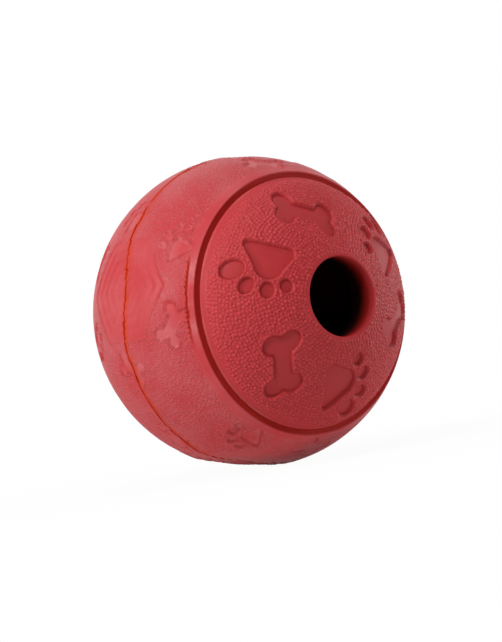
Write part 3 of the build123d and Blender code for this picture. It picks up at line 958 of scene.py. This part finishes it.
def red_rubber(grain, bloom):
    """Matt red rubber: painted shade deeper between pebbles, in creases and in the groove, paler under bloom,
    which on the band also paints sheen, and painted shade dark down the mouth.
    """
    material, tree, shader = new_material("red_rubber", *RUBBER_SURFACE)
    shader.inputs["Coat Roughness"].default_value = COAT_ROUGHNESS
    shader.inputs["Coat IOR"].default_value = COAT_IOR
    link(tree, attribute(tree, "sleek", COAT_WEIGHT), shader.inputs["Coat Weight"])
    pitted = attribute(tree, "fine_grain")
    amount = combined(tree, "SUBTRACT", SMOOTH_GRAIN, pitted)
    bumps = grained(tree, shader, grain, BAND_CELLS, BAND_ROUGHENING, amount, BAND_GRAIN_HEIGHT)
    ridges = combined(tree, "SUBTRACT", 1.0, bumps)
    ridges = combined(tree, "MULTIPLY", ridges, combined(tree, "MULTIPLY", pitted, RIDGE_SHARE))
    cover = add_node(tree, "ShaderNodeGroup", node_tree=bloom)
    cover.inputs["Patches per metre"].default_value = BLOOM_PATCHES
    link(tree, attribute(tree, "bloom", BLOOM_COVER), cover.inputs["Cover"])
    # Painted light and shade: the red darker between the pebbles, on the cap's recess floors and higher up
    # the band
    colour = mixed(tree, attribute(tree, "pebble"), VALLEY_SHADE_RED, PEBBLE_RED)
    for factor, next_colour in (
        (ridges, RIDGE_PINK),
        # Pale bloom, which on the band also paints sheen and highlight
        (cover.outputs["Mask"], BLOOM_PINK),
        (attribute(tree, "smear"), SMEAR_ORANGE),
        # Painted shade along the foot of the recesses' walls and in the trim's notch
        (attribute(tree, "painted_crease_shade", CREASE_SHADE_STRENGTH), CREASE_SHADE_RED),
        # Painted shade in the groove, the trim's notch and down the mouth
        (attribute(tree, "groove", GROOVE_SHADE_STRENGTH), GROOVE_SHADE_RED),
        # Painted shade of the cavity and down the mouth
        (attribute(tree, "inside"), INSIDE_SHADE_DARK),
    ):
        colour = mixed(tree, factor, colour, next_colour)
    link(tree, colour, shader.inputs["Base Color"])
    return material


def plain_rubber(name, colour, pale, grain, bloom):
    """Matt rubber of one colour with pale bloom and fine grain."""
    material, tree, shader = new_material(name, *PLAIN_SURFACE)
    cover = add_node(tree, "ShaderNodeGroup", node_tree=bloom)
    cover.inputs["Patches per metre"].default_value = FINE_PATCHES
    cover.inputs["Cover"].default_value = FINE_COVER
    link(tree, mixed(tree, cover.outputs["Mask"], colour, pale), shader.inputs["Base Color"])
    grained(tree, shader, grain, FINE_CELLS, FINE_ROUGHENING, 1.0, FINE_GRAIN_HEIGHT)
    return material


fine_grain = fine_grain_group()
rubber_bloom = bloom_group()
rubber = red_rubber(fine_grain, rubber_bloom)
cement = plain_rubber("seam_cement", CEMENT_RED, CEMENT_ORANGE, fine_grain, rubber_bloom)
# Rubber of the disc inside the ball, painted nearly black as painted shade
inner = plain_rubber("inner_rubber", INNER_SHADE_RED, INNER_PALE, fine_grain, rubber_bloom)
for piece, node_name, slot_name, material in (
    (half_shell("front_half", True, False, FRONT_SEED), "front_half_shell", "red_rubber", rubber),
    (half_shell("rear_half", False, True, REAR_SEED), "rear_half_shell", "red_rubber", rubber),
    (cement_bead(), "seam_cement", "seam_cement", cement),
):
    piece.data.materials.append(material)
    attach(piece, "root")
    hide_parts(node_name)
disc = frame["nodes"]["labyrinth_disc"]
disc.data.materials.clear()
disc.data.materials.append(inner)

# Camera at the photograph's angle
VIEW_TURN = np.radians(37.1)
VIEW_ROLL = np.radians(9.45)
VIEW_DISTANCE = 20 * BALL_RADIUS
PICTURE_WIDTH, PICTURE_HEIGHT = 502, 642
BALL_PIXEL = (249.3, 311.7)
FOCAL_PIXELS = 3124.0
SENSOR = 36.0
NEAR_CLIP = 0.01
back = Vector((-np.sin(VIEW_TURN), -np.cos(VIEW_TURN), 0.0))
level = Vector((np.cos(VIEW_TURN), -np.sin(VIEW_TURN), 0.0))
upright = Vector((0.0, 0.0, 1.0))
right = level * np.cos(VIEW_ROLL) - upright * np.sin(VIEW_ROLL)
up = upright * np.cos(VIEW_ROLL) + level * np.sin(VIEW_ROLL)
eye = back * VIEW_DISTANCE
pixel = VIEW_DISTANCE / FOCAL_PIXELS
aim = right * (PICTURE_WIDTH / 2 - BALL_PIXEL[0]) * pixel
aim -= up * (PICTURE_HEIGHT / 2 - BALL_PIXEL[1]) * pixel
behind = (eye - aim).normalized()
side = up.cross(behind).normalized()
over = behind.cross(side)
camera_data = bpy.data.cameras.new("camera")
camera_data.sensor_width = SENSOR
camera_data.lens = SENSOR * FOCAL_PIXELS / PICTURE_HEIGHT
camera_data.clip_start = NEAR_CLIP
camera = bpy.data.objects.new("camera", camera_data)
bpy.context.scene.collection.objects.link(camera)
camera.matrix_world = Matrix((
    (side.x, over.x, behind.x, eye.x),
    (side.y, over.y, behind.y, eye.y),
    (side.z, over.z, behind.z, eye.z),
    (0, 0, 0, 1),
))
bpy.context.scene.camera = camera


# Lamps by their distance and sizes, light of the surroundings, and the white floor: its half width, its
# colours, how white it looks by the ball, and the distances between which the shadow fades
LAMP_DISTANCE = 0.8
SMALL_LAMP, LARGE_LAMP = 0.12, 0.4
AMBIENT = 0.12
FLOOR_HALF = 4.0
WHITE = (1, 1, 1, 1)
SHEET_WHITE = (0.9, 0.9, 0.9, 1)
SHADOW_WHITE = 0.96
SHADOW_NEAR, SHADOW_FAR = 0.05, 0.16


def area_light(name, turn, rise, brightness, size):
    """Soft square lamp aimed at the ball, by its turn and rise from the camera, in degrees.

    At brightness 1 it lights a white surface that faces it to full white.
    """
    lamp = bpy.data.lights.new(name, "AREA")
    lamp.size = size
    lamp.energy = brightness * (np.pi * LAMP_DISTANCE) ** 2
    holder = bpy.data.objects.new(name, lamp)
    bpy.context.scene.collection.objects.link(holder)
    turn, rise = np.radians(turn), np.radians(rise)
    way = right * np.cos(rise) * np.sin(turn) + up * np.sin(rise) + back * np.cos(rise) * np.cos(turn)
    holder.location = way * LAMP_DISTANCE
    holder.rotation_euler = way.to_track_quat("Z", "Y").to_euler()


area_light("left", -65.0, 15.0, 0.46, SMALL_LAMP)
area_light("key", -30.0, 42.0, 0.41, SMALL_LAMP)
area_light("rim", 110.0, 5.0, 0.7, LARGE_LAMP)
area_light("top", 0.0, 85.0, 0.22, LARGE_LAMP)


def white_when_seen(tree):
    """1 for rays from the camera, mirrors and glass, and 0 for rays that light a surface."""
    path = tree.nodes.new("ShaderNodeLightPath")
    seen = combined(tree, "MAXIMUM", path.outputs["Is Camera Ray"], path.outputs["Is Glossy Ray"])
    return combined(tree, "MAXIMUM", seen, path.outputs["Is Transmission Ray"])


def white_world():
    """White surroundings that light the ball weakly."""
    world = bpy.data.worlds.new("studio")
    bpy.context.scene.world = world
    world.use_nodes = True
    tree = world.node_tree
    backdrop = tree.nodes["Background"]
    backdrop.inputs["Color"].default_value = WHITE
    seen = combined(tree, "MULTIPLY", white_when_seen(tree), 1 - AMBIENT)
    link(tree, combined(tree, "ADD", seen, AMBIENT), backdrop.inputs["Strength"])


def white_floor():
    """White sheet under the ball: plain white as the camera sees it, with the ball's faint shadow near by."""
    mesh = bpy.data.meshes.new("floor")
    signs = ((-1, -1), (1, -1), (1, 1), (-1, 1))
    corners = [(x * FLOOR_HALF, y * FLOOR_HALF, cad_low.z) for x, y in signs]
    mesh.from_pydata(corners, [], [(0, 1, 2, 3)])
    sheet = bpy.data.objects.new("floor", mesh)
    bpy.context.scene.collection.objects.link(sheet)
    material, tree, shader = new_material("white_sheet", *SHEET_SURFACE)
    shader.inputs["Base Color"].default_value = SHEET_WHITE
    place = add_node(tree, "ShaderNodeTexCoord").outputs["Object"]
    away = add_node(tree, "ShaderNodeVectorMath", {0: place}, operation="LENGTH").outputs["Value"]
    faded = {"Value": away, "From Min": SHADOW_NEAR, "From Max": SHADOW_FAR, "To Min": SHADOW_WHITE}
    fade = add_node(tree, "ShaderNodeMapRange", faded)
    white = add_node(tree, "ShaderNodeEmission", {"Color": WHITE, "Strength": 1.0})
    choice = tree.nodes.new("ShaderNodeMixShader")
    link(tree, combined(tree, "MULTIPLY", white_when_seen(tree), fade.outputs[0]), choice.inputs[0])
    link(tree, shader.outputs[0], choice.inputs[1])
    link(tree, white.outputs[0], choice.inputs[2])
    link(tree, choice.outputs[0], tree.nodes["Material Output"].inputs["Surface"])
    mesh.materials.append(material)


white_world()
white_floor()
bpy.context.scene.view_settings.view_transform = "Standard"
